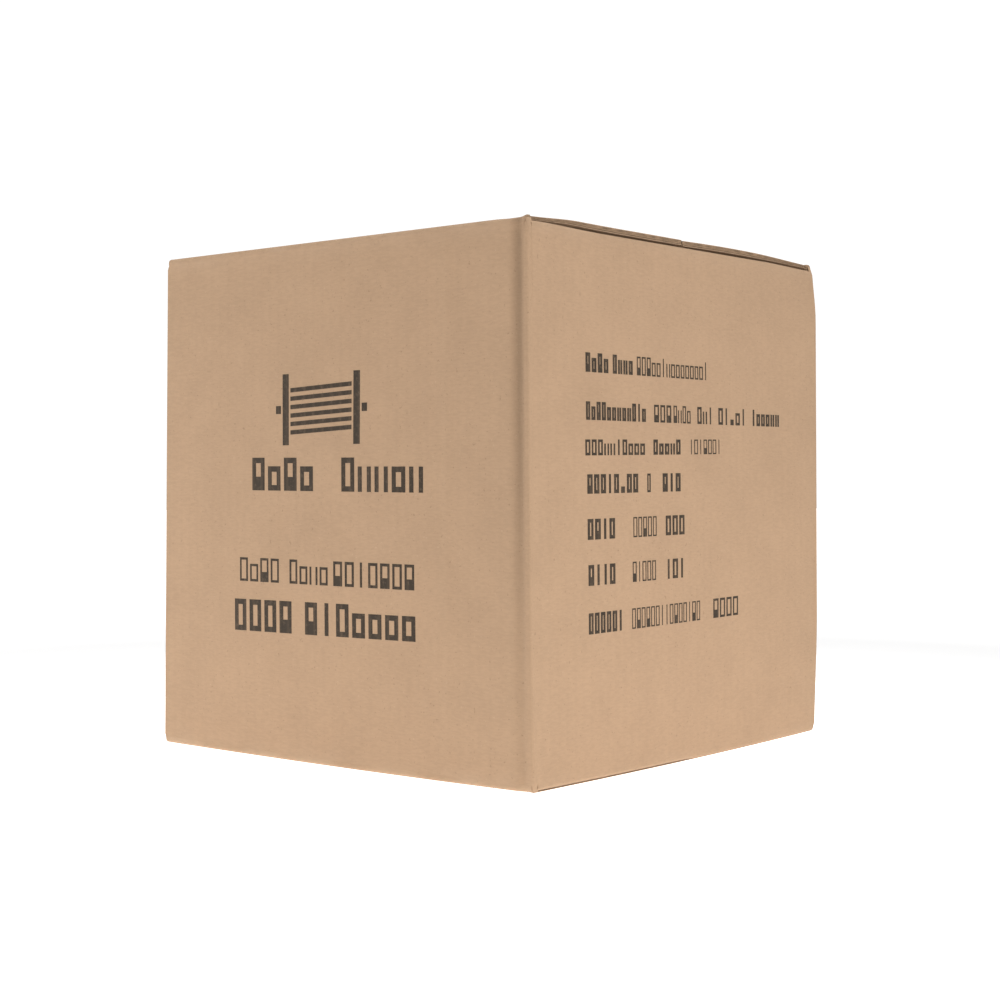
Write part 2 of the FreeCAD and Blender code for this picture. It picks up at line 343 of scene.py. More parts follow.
class Graph:
    """A material in the making. Every node after the first three comes from make()."""

    def __init__(self, name: str) -> None:
        """Starts an empty material with a Principled BSDF, an output and the piece's own coordinates.

        Args:
            name: The material's name.
        """
        self.material = bpy.data.materials.new(name)
        self.material.use_nodes = True
        self.tree = self.material.node_tree
        self.tree.nodes.clear()
        self.surface = self.make("ShaderNodeBsdfPrincipled", {}, {})
        self.make("ShaderNodeOutputMaterial", {}, {"Surface": self.surface.outputs["BSDF"]})
        self.where = self.make("ShaderNodeTexCoord", {}, {}).outputs["Object"]

    def make(self, kind: str, settings: dict[str, Any], inputs: dict[str | int, Any]) -> bpy.types.Node:
        """Adds one node.

        Args:
            kind: The node's type.
            settings: Its properties, set before its sockets.
            inputs: Socket name or number to a value, a socket or a Wire.

        Returns:
            The node.
        """
        node = self.tree.nodes.new(kind)
        for key, value in settings.items():
            setattr(node, key, value)
        for key, value in inputs.items():
            self.feed(node.inputs[key], value)
        return node

    def feed(self, socket: bpy.types.NodeSocket, value: Any) -> None:
        """Links a Wire or a socket to a socket, or sets a constant on it."""
        source = value.socket if isinstance(value, Wire) else value
        if isinstance(source, bpy.types.NodeSocket):
            self.tree.links.new(source, socket)
        else:
            socket.default_value = source

    def maths(self, operation: str, *values: Any, clamp: bool = False) -> Wire:
        """Adds a Math node.

        Args:
            operation: The node's operation.
            values: Its inputs, as numbers or Wires.
            clamp: Whether its result stays between 0 and 1.

        Returns:
            Its result.
        """
        settings = {"operation": operation, "use_clamp": clamp}
        return Wire(self, self.make("ShaderNodeMath", settings, dict(enumerate(values))).outputs[0])

    def mix(self, share: Any, first: Any, second: Any, blend: str = "MIX") -> bpy.types.NodeSocket:
        """A colour between two colours.

        Args:
            share: 0 for the first, 1 for the second.
            first: A colour or a colour socket.
            second: The same.
            blend: How the second is laid on the first.

        Returns:
            The colour socket.
        """
        settings = {"data_type": "RGBA", "blend_type": blend}
        return self.make("ShaderNodeMix", settings, {0: share, 6: first, 7: second}).outputs[2]

    def stretched(self, factors: tuple[float, float, float]) -> bpy.types.NodeSocket:
        """The piece's coordinates, each times a factor."""
        settings = {"operation": "MULTIPLY"}
        return self.make("ShaderNodeVectorMath", settings, {0: self.where, 1: factors}).outputs[0]

    def noise(self, scale: float, detail: float = 2.0, rough: float = 0.5, where: Any = None) -> Wire:
        """Smooth noise between 0 and 1.

        Args:
            scale: Features to the metre.
            detail: How many finer layers it has.
            rough: How strong the finer layers are.
            where: Coordinates to use in place of the piece's own.

        Returns:
            The noise.
        """
        inputs = {"Vector": where or self.where, "Scale": scale, "Detail": detail, "Roughness": rough}
        return Wire(self, self.make("ShaderNodeTexNoise", {}, inputs).outputs[0])

    def attribute(self, name: str) -> Wire:
        """A value stored on the piece's own points."""
        return Wire(self, self.make("ShaderNodeAttribute", {"attribute_name": name}, {}).outputs["Fac"])

    def bump(self, height: Wire, depth: float, strength: float = 1.0) -> None:
        """Raises the surface by height times a depth in metres."""
        inputs = {"Height": height, "Distance": depth, "Strength": strength}
        self.feed(self.surface.inputs["Normal"], self.make("ShaderNodeBump", {}, inputs).outputs["Normal"])

    def finish(self, **sockets: Any) -> bpy.types.Material:
        """Sets the surface's sockets by name, with _ for a space, and returns the material."""
        for name, value in sockets.items():
            self.feed(self.surface.inputs[name.replace("_", " ")], value)
        return self.material


Colour = tuple[float, float, float, float]


def grey(level: float) -> Colour:
    """A neutral colour."""
    return (level, level, level, 1.0)


def shade(colour: Colour, factor: float) -> Colour:
    """A colour times a factor, no channel over 1."""
    return tuple(min(1.0, channel * factor) for channel in colour[:3]) + (1.0,)


class Flutes(Enum):
    """Which way the flutes repeat on a board: across X on the front and back, across Y on the sides."""

    ACROSS_X = (1.0, 0.0, 0.0)
    ACROSS_Y = (0.0, 1.0, 0.0)


@dataclass(frozen=True)
class Kraft:
    """Brown kraft liner with long fibres, flecks, soft blotches and faint flute lines."""

    name: str
    flutes: Flutes
    colour: Colour = (0.405, 0.266, 0.164, 1.0)
    pitch: float = FLUTE_PITCH * MM
    tint: float = 1.0
    fleck: Colour = (0.16, 0.10, 0.06, 1.0)
    speck: Colour = (0.60, 0.45, 0.32, 1.0)
    rubbed: Colour = (0.56, 0.41, 0.29, 1.0)
    # Painted shade: the colour that marks below 0 darken towards, in the joint's groove, on cut faces, at the folds'
    # open ends and on the medium.
    crushed_and_shaded: Colour = (0.100, 0.068, 0.040, 1.0)
    darker: float = 0.80
    paler: float = 1.13
    blotches: float = 0.40
    pale_fibres: float = 0.42
    dark_fibres: float = 0.38
    flute_lines: float = 0.07
    flecks: float = 0.35
    specks: float = 0.16
    grain_depth: float = 0.12 * MM

    def colour_of(self, graph: Graph) -> bpy.types.NodeSocket:
        """The liner's colour: blotches, fibres along the machine direction, flute lines, flecks, pale rubbing and
        painted shade.

        Args:
            graph: The material that it goes in.

        Returns:
            The colour socket.
        """
        base = shade(self.colour, self.tint)
        dark, pale = shade(base, self.darker), shade(base, self.paler)
        along, across = (0.25, 1.0) if self.flutes is Flutes.ACROSS_X else (1.0, 0.25)
        fibres = graph.noise(900, 3.0, 0.6, graph.stretched((along, across, 1.0)))
        cloudy = graph.noise(26, 3.0, 0.55)
        flecks = graph.noise(620, 1.0)
        colour = graph.mix(cloudy.above(0.32, 0.72) * self.blotches, base, dark)
        colour = graph.mix(fibres.above(0.45, 0.78) * self.pale_fibres, colour, pale)
        colour = graph.mix(fibres.above(0.52, 0.22) * self.dark_fibres, colour, dark)
        colour = graph.mix(self.lines(graph).above(0.2, 1.0) * self.flute_lines, colour, dark)
        colour = graph.mix(flecks.above(0.70, 0.76) * self.flecks, colour, self.fleck)
        colour = graph.mix((-flecks).above(-0.28, -0.23) * self.specks, colour, self.speck)
        wear_and_shade = graph.attribute("wear_and_shade")
        colour = graph.mix(wear_and_shade.above(0.0, 1.0) * 0.5, colour, self.rubbed)
        # Marks below 0 paint shade: the colour darkens towards the painted shade colour.
        return graph.mix((-wear_and_shade).above(0.0, 1.0) * 0.85, colour, self.crushed_and_shaded)

    def lines(self, graph: Graph) -> Wire:
        """The flute lines under the liner, sin(2 pi distance / pitch)."""
        picked = graph.make("ShaderNodeVectorMath", {"operation": "DOT_PRODUCT"},
                            {0: graph.where, 1: self.flutes.value}).outputs["Value"]
        return graph.maths("SINE", Wire(graph, picked) * (2 * math.pi / self.pitch))

    def relief_of(self, graph: Graph) -> None:
        """Fibre grain and a trace of the flutes as bump."""
        grain = graph.noise(1500, 3.0, 0.65) + graph.noise(330, 2.0) * 0.8
        graph.bump(grain + self.lines(graph) * 0.10, self.grain_depth, 0.55)

    def material(self) -> bpy.types.Material:
        """The liner's colour, its relief and an uneven roughness.

        Returns:
            The finished material.
        """
        graph = Graph(self.name)
        self.relief_of(graph)
        rough = graph.noise(120, 2.0) * 0.12 + 0.78
        return graph.finish(Base_Color=self.colour_of(graph), Roughness=rough, Specular_IOR_Level=0.25)


@dataclass(frozen=True)
class Ink:
    """Thin dark ink printed on the kraft, mottled where the plate met the flutes unevenly."""

    name: str
    board: Kraft
    cover: float = 1.0
    colour: Colour = (0.036, 0.024, 0.014, 1.0)

    def material(self) -> bpy.types.Material:
        """The board's own colour showing through a mask of ink.

        Returns:
            The finished material.
        """
        graph = Graph(self.name)
        self.board.relief_of(graph)
        cover = (graph.noise(420, 3.0, 0.6).above(0.22, 0.46) * 0.16 + (self.cover - 0.16)
                 - self.board.lines(graph).above(0.4, 1.0) * 0.05)
        colour = graph.mix(cover, self.board.colour_of(graph), self.colour)
        return graph.finish(Base_Color=colour, Roughness=0.72, Specular_IOR_Level=0.25)


@dataclass(frozen=True)
class Plywood:
    """Pale plywood: rings of grain cut flat on the faces and plies on the rim."""

    name: str = "plywood"
    pale: Colour = (0.60, 0.42, 0.25, 1.0)
    dark: Colour = (0.42, 0.26, 0.13, 1.0)
    pore: Colour = (0.25, 0.15, 0.08, 1.0)
    glue: Colour = (0.30, 0.18, 0.09, 1.0)
    ply: float = 3.0 * MM

    def material(self) -> bpy.types.Material:
        """Grain is noise stretched along Y; the plies are bands across X.

        Returns:
            The finished material.
        """
        graph = Graph(self.name)
        grain = graph.noise(70, 4.0, 0.6, graph.stretched((1.0, 0.08, 1.0)))
        pores = graph.noise(900, 2.0, 0.5, graph.stretched((1.0, 0.05, 1.0)))
        across = graph.make("ShaderNodeSeparateXYZ", {}, {0: graph.where}).outputs[0]
        plies = graph.maths("SINE", Wire(graph, across) * (2 * math.pi / self.ply))
        colour = graph.mix(grain.above(0.35, 0.7), self.pale, self.dark)
        colour = graph.mix(pores.above(0.62, 0.75) * 0.5, colour, self.pore)
        colour = graph.mix(plies.above(0.0, 1.0) * 0.12, colour, self.glue)
        graph.bump(grain + pores * 0.6, 0.15 * MM)
        return graph.finish(Base_Color=colour, Roughness=grain * 0.2 + 0.5)


@dataclass(frozen=True)
class Moulded:
    """Plastic, card tube or plated metal: one colour with fine mottling and a soft grain."""

    name: str
    colour: Colour
    rough: float
    metal: float = 0.0
    grain: float = 400.0
    depth: float = 0.03 * MM

    def material(self) -> bpy.types.Material:
        """A base colour mixed with a darker one by noise, and bump from the same noise.

        Returns:
            The finished material.
        """
        graph = Graph(self.name)
        mottle = graph.noise(self.grain, 3.0, 0.6)
        graph.bump(mottle, self.depth)
        colour = graph.mix(mottle.above(0.4, 0.75) * 0.5, self.colour, shade(self.colour, 0.72))
        return graph.finish(Base_Color=colour, Roughness=mottle * 0.2 + (self.rough - 0.1), Metallic=self.metal)


FRONT_KRAFT = Kraft("kraft_front", Flutes.ACROSS_X)
SIDE_KRAFT = Kraft("kraft_side", Flutes.ACROSS_Y)
PAD_KRAFT = Kraft("kraft_pad", Flutes.ACROSS_X, tint=0.88)


# --- the carton's shape ---------------------------------------------------------------------------


class Side(Enum):
    """A side of the carton: the axis that points out of it and the way it points."""

    FRONT = (1, -1)
    BACK = (1, 1)
    LEFT = (0, -1)
    RIGHT = (0, 1)

    @property
    def tag(self) -> str:
        """The side's name as the pieces use it."""
        return self.name.lower()

    def place(self, along: Array, out: Array, height: Array) -> Array:
        """Points on or near the side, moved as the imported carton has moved.

        Args:
            along: Distance along the side.
            out: Distance out from the carton's middle.
            height: Height over the floor.

        Returns:
            The points, with x, y and z last.
        """
        axis, sign = self.value
        along, out, height = np.broadcast_arrays(along, out, height)
        first, second = (out * sign, along) if axis == 0 else (along, out * sign)
        return SETTLING.move(np.stack([first, second, height], -1))


BOX_HALF = extent("front_wall")[1][0]
BOX_HEIGHT = CAD_BOX[1][2] / MM
BOARD = BOX_HEIGHT - extent("front_wall")[1][2]
WALL_TOP = BOX_HEIGHT - BOARD
AXLE_HEIGHT = BOX_HEIGHT / 2


@dataclass(frozen=True)
class Settling:
    """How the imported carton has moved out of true. Each corner's lean is its shift along X, foot then head."""

    leans: tuple[tuple[float, float], ...] = ((-2.6, 3.0), (1.2, -0.9), (0.0, 0.0), (-0.6, -2.0))
    lifts: tuple[float, ...] = (1.0, 1.4, 0.0, 2.2)
    swell: float = 1.8
    flare: float = 1.8
    peak: float = 1.0
    belly: float = 0.9
    groove_at: float = 148.0
    groove_width: float = 3.5
    groove_depth: float = 2.3
    dip: float = 0.4
    swell_reach: float = 55.0
    skin_from: float = 120.0
    corner_from: float = 140.0
    peak_at: float = -140.0
    peak_width: float = 35.0

    def groove(self, x: Array, z: Array) -> Array:
        """How deep the crushed strip of the joint is, 0 to 1: a bell that is shallower near the floor."""
        return hump(x, self.groove_at, self.groove_width) * (0.55 + 0.45 * smooth(z, 20, 240))

    def move(self, points: Array) -> Array:
        """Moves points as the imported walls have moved.

        The leans and lifts are mixed linearly between the four upright edges, front left first. The back
        right corner swells by a bell in plan, the walls belly out by a cosine across times a sine in height,
        and the joint's strip is pressed in. The front right edge flares at its foot and peaks at its head.

        Args:
            points: Points in millimetres, with x, y and z last.

        Returns:
            The moved points.
        """
        x, y, z = points[..., 0], points[..., 1], points[..., 2]
        right = np.clip((x / BOX_HALF + 1) / 2, 0, 1)
        back = np.clip((y / BOX_HALF + 1) / 2, 0, 1)
        shares = ((1 - right) * (1 - back), right * (1 - back), (1 - right) * back, right * back)
        head = np.clip(z / BOX_HEIGHT, 0, 1)
        rise = np.sin(np.pi * head)
        across_x = np.cos(np.pi * np.clip(x / (2 * BOX_HALF), -0.5, 0.5))
        across_y = np.cos(np.pi * np.clip(y / (2 * BOX_HALF), -0.5, 0.5))
        swell = self.swell * smooth(z, -20, 90) * (1 - smooth(z, 282, 322))
        swell = swell * np.exp(-((x - BOX_HALF) ** 2 + (y - BOX_HALF) ** 2) / self.swell_reach**2)
        skin_x, skin_y = smooth(np.abs(x), self.skin_from, BOX_HALF), smooth(-y, self.skin_from, BOX_HALF)
        moved = points.copy()
        moved[..., 0] += swell + self.belly * rise * across_y * skin_x * np.sign(x)
        moved[..., 1] += swell - self.belly * rise * across_x * skin_y
        moved[..., 1] += self.groove_depth * self.groove(x, z) * smooth(-y, BOX_HALF - 7, BOX_HALF - 2.5)
        dipped = smooth(-y, self.corner_from, BOX_HALF) * smooth(z, 300, 316)
        moved[..., 2] -= self.dip * hump(x, self.groove_at - 6, 7.0) * dipped
        moved[..., 0] += self.flare * (right * (1 - back)) ** 3 * (1 - head) ** 6
        peaked = smooth(x, self.corner_from, BOX_HALF) * smooth(z, 292, 316)
        moved[..., 2] += self.peak * hump(y, self.peak_at, self.peak_width) * peaked
        for share, (foot, top), lift in zip(shares, self.leans, self.lifts):
            moved[..., 0] += share * (foot + (top - foot) * head) * skin_x
            moved[..., 2] += share**3 * lift * (1 - head) ** 3
        return moved


SETTLING = Settling()


@dataclass(frozen=True)
class Board:
    """Single-wall corrugated board: two liners and a wavy medium between them."""

    thick: float = BOARD
    liner: float = 0.35
    medium: float = 0.25
    pitch: float = FLUTE_PITCH

    def flutes(self, u: tuple[float, float], v: Sequence[float], place: Place) -> Surface:
        """The medium, middle + reach * sin(2 pi u / pitch), with v along the flutes.

        Args:
            u: Where the wave starts and stops.
            v: Places along the flutes.
            place: Turns (u, v, height over the inner face) into points.

        Returns:
            The closed wavy sheet.
        """
        count = max(24, int((u[1] - u[0]) / self.pitch * 10))
        across, along = np.meshgrid(np.linspace(*u, count), np.asarray(v, float), indexing="ij")
        reach = self.thick / 2 - self.liner - self.medium / 2
        wave = self.thick / 2 + reach * np.sin(2 * np.pi * across / self.pitch)
        half = self.medium / 2
        # Painted shade: the medium is darkened a little, as it lies between the liners.
        return shell(place(across, along, wave + half), place(across, along, wave - half), -0.15)

    def flat(self, u: Array, v: Array, place: Place, relief: Callable[[Array, Array], Array] | None = None,
             cut: bool = True) -> Surface:
        """A whole rectangle of board.

        Args:
            u: Grid places across the flutes.
            v: Grid places along the flutes.
            place: Turns (u, v, height over the inner face) into points.
            relief: Extra height of the outer face at (u, v).
            cut: Whether the edges at the ends of u get a rough, crushed cut face.

        Returns:
            The board's liners, medium and cut faces.
        """
        across, along = np.meshgrid(u, v, indexing="ij")
        extra = relief(across, along) if relief else np.zeros_like(across)
        edge = np.minimum(across - u[0], u[-1] - across)
        wear_and_shade = 0.35 * hump(edge, 0, 1.6)
        parts = [
            shell(place(across, along, self.thick + extra), place(across, along, self.thick - self.liner + extra),
                  wear_and_shade),
            shell(place(across, along, np.full_like(across, self.liner)),
                  place(across, along, np.zeros_like(across)), wear_and_shade),
            self.flutes((u[0] + 0.4, u[-1] - 0.4), v, place),
        ]
        if cut:
            parts += [self.cut_face(end, inward, np.linspace(v[0], v[-1], 160), place)
                      for end, inward in ((u[0], 1.0), (u[-1], -1.0))]
        return join(parts)

    def cut_face(self, end: float, inward: float, v: Array, place: Place) -> Surface:
        """The torn face where a blade ran along the flutes: a plane with seeded roughness, closed behind, darkened
        with painted shade for the hollows of the cut flutes.

        Args:
            end: The cut's place across the flutes.
            inward: 1 or -1, the way into the board.
            v: Places along the cut.
            place: Turns (u, v, height over the inner face) into points.

        Returns:
            A thin closed strip that fills the edge between the liners.
        """
        height, along = np.meshgrid(np.linspace(self.liner * 0.5, self.thick - self.liner * 0.5, 9), v, indexing="ij")
        rough = 0.22 * (1 + ripple(height * 3, along, 7, 9.0)) + 0.15
        bowl = 0.5 * np.sin(np.pi * height / self.thick)
        outer = place(end + inward * (rough + bowl), along, height)
        inner = place(np.full_like(along, end + inward * 2.2), along, height)
        # Painted shade: the whole face is darkened as the cut flutes' hollows would be.
        return shell(outer, inner, -0.66 - 0.26 * ripple(height * 2, along, 11, 23.0))


BOARD_KIND = Board()


@dataclass(frozen=True)
class Creases:
    """The walls' own relief: the glue tab's ridge, a trace of the blank's fold, and the flutes."""

    ridge_at: float = 95.0
    ridge_width: float = 4.5
    ridge_height: float = 0.32
    trace_at: float = 8.0
    trace_height: float = 0.14

    def relief(self, side: Side, along: Array, height: Array) -> Array:
        """Height of a wall's outer face over true, in millimetres.

        Flute lines are a sine across the wall, long waves are seeded ripples, and on the front the glue tab
        lifts the face by a bell and an S step.

        Args:
            side: The wall.
            along: Distance along the wall.
            height: Height over the floor.

        Returns:
            The relief at each point.
        """
        relief = 0.030 * np.sin(2 * np.pi * along / BOARD_KIND.pitch)
        relief = relief + 0.16 * ripple(along, height, 3 + side.value[0], 260.0)
        if side is Side.FRONT:
            relief = relief + self.ridge_height * hump(along, self.ridge_at, self.ridge_width)
            relief = relief + self.ridge_height * 0.5 * smooth(along, self.ridge_at - 6, self.ridge_at + 2)
            relief = relief + self.trace_height * hump(along, self.trace_at, 5.0)
        edge = np.minimum(height - BOARD, WALL_TOP - height)
        return relief * smooth(edge, 0.0, 9.0) * smooth(BOX_HALF - np.abs(along), 0.5, 3.5)

    def wear_and_shade(self, side: Side, along: Array, height: Array) -> Array:
        """Pale rubbed edges, and painted shade in the front wall's pressed-in joint strip, heavier towards the top.

        Args:
            side: The wall.
            along: Distance along the wall.
            height: Height over the floor.

        Returns:
            The rubbing, above 0, and the painted shade, below 0, at each point.
        """
        edge = np.minimum(height - BOARD, WALL_TOP - height)
        wear_and_shade = 0.25 * hump(edge, 0, 5.0) * (0.6 + 0.4 * ripple(along, height, 21, 60.0))
        if side is Side.FRONT:
            # Painted shade: the joint's groove is darkened, more towards the top.
            wear_and_shade = wear_and_shade - 0.40 * SETTLING.groove(along, height) * (0.45 + 0.55 * smooth(height, 30, 200))
        return wear_and_shade


CREASES = Creases()


@dataclass
class Maker:
    """Turns surfaces into pieces of the model, and reports each one."""

    count: int = 0

    def make(self, name: str, surface: Surface, material: bpy.types.Material, body: str | None, slot: str,
             nodes: Sequence[str] = (), crisp: float = 32.0) -> bpy.types.Object:
        """Makes a piece at the origin with its place in its mesh.

        Args:
            name: The piece's name.
            surface: Its points and faces, in millimetres.
            material: Its finish.
            body: The CAD body that it rides on, or None to leave it unattached.
            slot: Not used.
            nodes: The CAD nodes that it stands for.
            crisp: Edges sharper than this many degrees stay crisp.

        Returns:
            The object.
        """
        mesh = bpy.data.meshes.new(name)
        mesh.from_pydata((surface.points * MM).tolist(), [], surface.faces.tolist())
        mesh.attributes.new("wear_and_shade", "FLOAT", "POINT").data.foreach_set("value", surface.wear_and_shade.astype(np.float32))
        mesh.polygons.foreach_set("use_smooth", np.ones(len(mesh.polygons), bool))
        mesh.set_sharp_from_angle(angle=math.radians(crisp))
        mesh.materials.append(material)
        piece = bpy.data.objects.new(name, mesh)
        bpy.context.collection.objects.link(piece)
        if body:
            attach(piece, body)
        if nodes:
            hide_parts(*nodes)
        self.count += 1
        log.info("%-26s %6d faces on %s", name, len(surface.faces), body or "two bodies")
        return piece


# --- the carton -----------------------------------------------------------------------------------


def spaced(low: float, high: float, step: float) -> Array:
    """Even places from low to high, about step apart."""
    return np.linspace(low, high, max(2, int(round(abs(high - low) / step)) + 1))


@dataclass
class Carton:
    """The folded blank: four walls, the glue tab and eight flaps."""

    maker: Maker
    front: bpy.types.Material
    side: bpy.types.Material
    corner: float = 1.5
    fold: float = 2.5
    flap_start: float = 150.0
    flap_free: float = 0.75
    outer_half: float = 153.0
    inner_half: float = 150.0
    hole_half: float = 25.0
    hole_low: float = 240.0
    hole_shoulder: float = 265.0
    medium_short: float = 0.3
    wall_rows: float = 5.0
    skirt_drop: float = 3.4
    skirt_rise: float = 2.5
    foot_tuck: float = 0.9
    head_tuck: float = 1.1
    sag: tuple[float, float] = (3.3, 0.65)
    crown: float = 1.1
    bow_clear: float = 0.15
    bow_front: float = 1.9
    bow_back: float = 1.5
    bow_arch: float = 1.3

    def board(self, name: str, surface: Surface, finish: bpy.types.Material, body: str = "carton") -> None:
        """Makes the board that stands for the CAD node of a name."""
        self.maker.make(f"{name}_board", surface, finish, body, "kraft_board", [name])

    def build(self) -> None:
        """Makes every board of the carton."""
        self.front_wall()
        self.back_wall()
        for side in (Side.LEFT, Side.RIGHT):
            self.side_wall(side)
            self.inner_flap(side, True)
            self.inner_flap(side, False)
        for side in (Side.FRONT, Side.BACK):
            self.bottom_flap(side)
            self.top_flap(side)
            self.top_fold(side)
        self.glue_tab()
        self.payout_tab()

    def plan_curve(self) -> Array:
        """A long wall's outer face in plan: a round corner, a straight run and a round corner."""
        middle = self.straight_half
        straight = np.stack([spaced(-middle, middle, 1.6), np.full(len(spaced(-middle, middle, 1.6)), BOX_HALF)], -1)
        centre = BOX_HALF - self.corner
        return np.vstack([[[-BOX_HALF, BOX_HALF - BOARD]], arc((-middle, centre), self.corner, 180, 96, 6), straight,
                          arc((middle, centre), self.corner, 84, 0, 6), [[BOX_HALF, BOX_HALF - BOARD]]])

    @property
    def straight_half(self) -> float:
        """Half the straight run of a long wall's outer face."""
        return BOX_HALF - self.corner

    def skirt(self, side: Side) -> Place:
        """A placing that draws a wall's round corners out over the ends of the folds, which leave them open.

        Args:
            side: The wall.

        Returns:
            The placing, of distance along, distance out and height.
        """
        def hang(along: Array, out: Array, height: Array) -> Array:
            """Lowers the corner's rows near the foot and raises those near the head, and rounds both in."""
            corner = smooth(np.abs(along), self.outer_half - 1.2, self.outer_half + 0.6)
            foot = corner * (1 - smooth(height, BOARD, BOARD + 30))
            head = corner * smooth(height, WALL_TOP - 20, WALL_TOP)
            tuck = self.foot_tuck * foot * (1 - smooth(height, BOARD, BOARD + 5))
            tuck = tuck + self.head_tuck * head * smooth(height, WALL_TOP - 5, WALL_TOP)
            drawn = height - self.skirt_drop * foot + self.skirt_rise * head
            return side.place(along - np.sign(along) * tuck, out - tuck, drawn)

        return hang

    def wall_inside(self, side: Side, low: float, high: float, reach: float) -> Surface:
        """A wall's medium and inner liner.

        Args:
            side: The wall.
            low: Its lowest height.
            high: Its highest height.
            reach: Half its length.

        Returns:
            Both sheets.
        """
        inner = BOX_HALF - BOARD
        across, along = np.meshgrid(spaced(-reach, reach, 8), spaced(low, high, COARSE), indexing="ij")
        liner = shell(side.place(across, inner + BOARD_KIND.liner, along), side.place(across, inner, along))
        wave = BOARD_KIND.flutes((-reach + 1, reach - 1), spaced(low + 0.3, high - 0.3, 20),
                                 lambda u, v, rise: side.place(u, inner + rise, v))
        return join([liner, wave])

    def lower_fold(self, side: Side, reach: float, floor: float) -> Surface:
        """The outer liner where a wall turns under: straight down, a round fold, and straight in.

        Args:
            side: The wall.
            reach: Half the fold's length.
            floor: The height of its lowest face.

        Returns:
            The fold's liner.
        """
        rows = spaced(-reach, reach, 2.0)
        curve = np.vstack([[[BOX_HALF, BOARD + floor + 0.02]],
                           arc((BOX_HALF - self.fold, floor + self.fold), self.fold, 0, -90, 9),
                           [[self.flap_start, floor]]])
        return skin(curve, rows, lambda out, height, along: side.place(along, out, height), BOARD_KIND.liner,
                    wear_and_shade=0.22 * (1 + ripple(rows, np.zeros_like(rows), 5, 60.0)))

    def front_wall(self) -> None:
        """The front wall, with the crushed joint at its right edge, and its lower fold."""
        curve, rows = self.plan_curve(), spaced(BOARD, WALL_TOP, self.wall_rows)
        along, height = np.meshgrid(curve[:, 0], rows, indexing="ij")
        relief = CREASES.relief(Side.FRONT, along, height)
        outer = skin(curve, rows, self.skirt(Side.FRONT), BOARD_KIND.liner, relief,
                     CREASES.wear_and_shade(Side.FRONT, along, height))
        inside = self.wall_inside(Side.FRONT, BOARD, WALL_TOP, BOX_HALF - 1)
        fold = self.lower_fold(Side.FRONT, self.outer_half, 0.0)
        self.board("front_wall", join([outer, inside, fold]), self.front)

    def arch(self, angle: Array) -> Array:
        """The pull-out hole's outline by angle about its shoulder: half round above, a rectangle below.

        Args:
            angle: The rays' angles.

        Returns:
            Points along the wall and up it.
        """
        c, s = np.cos(angle), np.sin(angle)
        depth = self.hole_shoulder - self.hole_low
        below = to_rectangle(angle, self.hole_half, self.hole_half, depth, depth)
        reach = np.where(s >= 0, self.hole_half, below)
        return np.stack([reach * c, self.hole_shoulder + reach * s], -1)

    def frame_outline(self, angle: Array) -> Array:
        """The back wall's outline by angle about the hole's shoulder: each ray's end on the rectangle.

        Args:
            angle: The rays' angles.

        Returns:
            Points along the wall and up it.
        """
        up, down = WALL_TOP - self.hole_shoulder, self.hole_shoulder - BOARD
        reach = to_rectangle(angle, self.straight_half, self.straight_half, up, down)
        return np.stack([reach * np.cos(angle), self.hole_shoulder + reach * np.sin(angle)], -1)

    def back_wall(self) -> None:
        """The back wall: liners ruled from the hole's outline to the wall's, plus its round ends."""
        up, down = WALL_TOP - self.hole_shoulder, self.hole_shoulder - BOARD
        depth, wide = self.hole_shoulder - self.hole_low, self.straight_half
        angle = fan(181, [(wide, up), (wide, -down), (-wide, up), (-wide, -down),
                          (self.hole_half, -depth), (-self.hole_half, -depth)])
        share = np.linspace(0, 1, 26)[None, :, None] ** 1.3
        ring = self.arch(angle)[:, None] * (1 - share) + self.frame_outline(angle)[:, None] * share
        along, height = ring[..., 0], ring[..., 1]
        relief = 0.16 * ripple(along, height, 4, 260.0) * smooth(share[..., 0], 0.05, 0.3)
        relief = relief * smooth(np.minimum(height - BOARD, WALL_TOP - height), 0, 9)

        def sheet(top: Array | float, thick: float) -> Surface:
            """One liner, whose outer face is top from the middle of the box."""
            return shell(Side.BACK.place(along, top + along * 0, height),
                         Side.BACK.place(along, top - thick + along * 0, height), 0.0, closed=True)

        liner = BOARD_KIND.liner
        parts = [sheet(BOX_HALF + relief, liner), sheet(BOX_HALF - BOARD + liner, liner)]
        centre, rows = BOX_HALF - self.corner, spaced(BOARD, WALL_TOP, self.wall_rows)
        for end in (-1, 1):
            curve = np.vstack([arc((self.straight_half, centre), self.corner, 90, 0, 7),
                               [[BOX_HALF, BOX_HALF - BOARD], [BOX_HALF - liner, BOX_HALF - BOARD + liner]]])
            curve[:, 0] *= end
            parts.append(skin(curve[:-1], rows, self.skirt(Side.BACK), liner))
        low, high, inner = BOARD + self.medium_short, WALL_TOP - self.medium_short, BOX_HALF - BOARD
        for u, v in (((-wide, -self.hole_half), (low, high)), ((self.hole_half, wide), (low, high)),
                     ((-self.hole_half, self.hole_half), (low, self.hole_low)),
                     ((-self.hole_half, self.hole_half), (self.hole_shoulder + self.hole_half, high))):
            parts.append(BOARD_KIND.flutes(u, v, lambda a, b, rise: Side.BACK.place(a, inner + rise, b)))
        parts.append(self.lower_fold(Side.BACK, self.outer_half, 0.0))
        self.board("back_wall", join(parts), self.front)

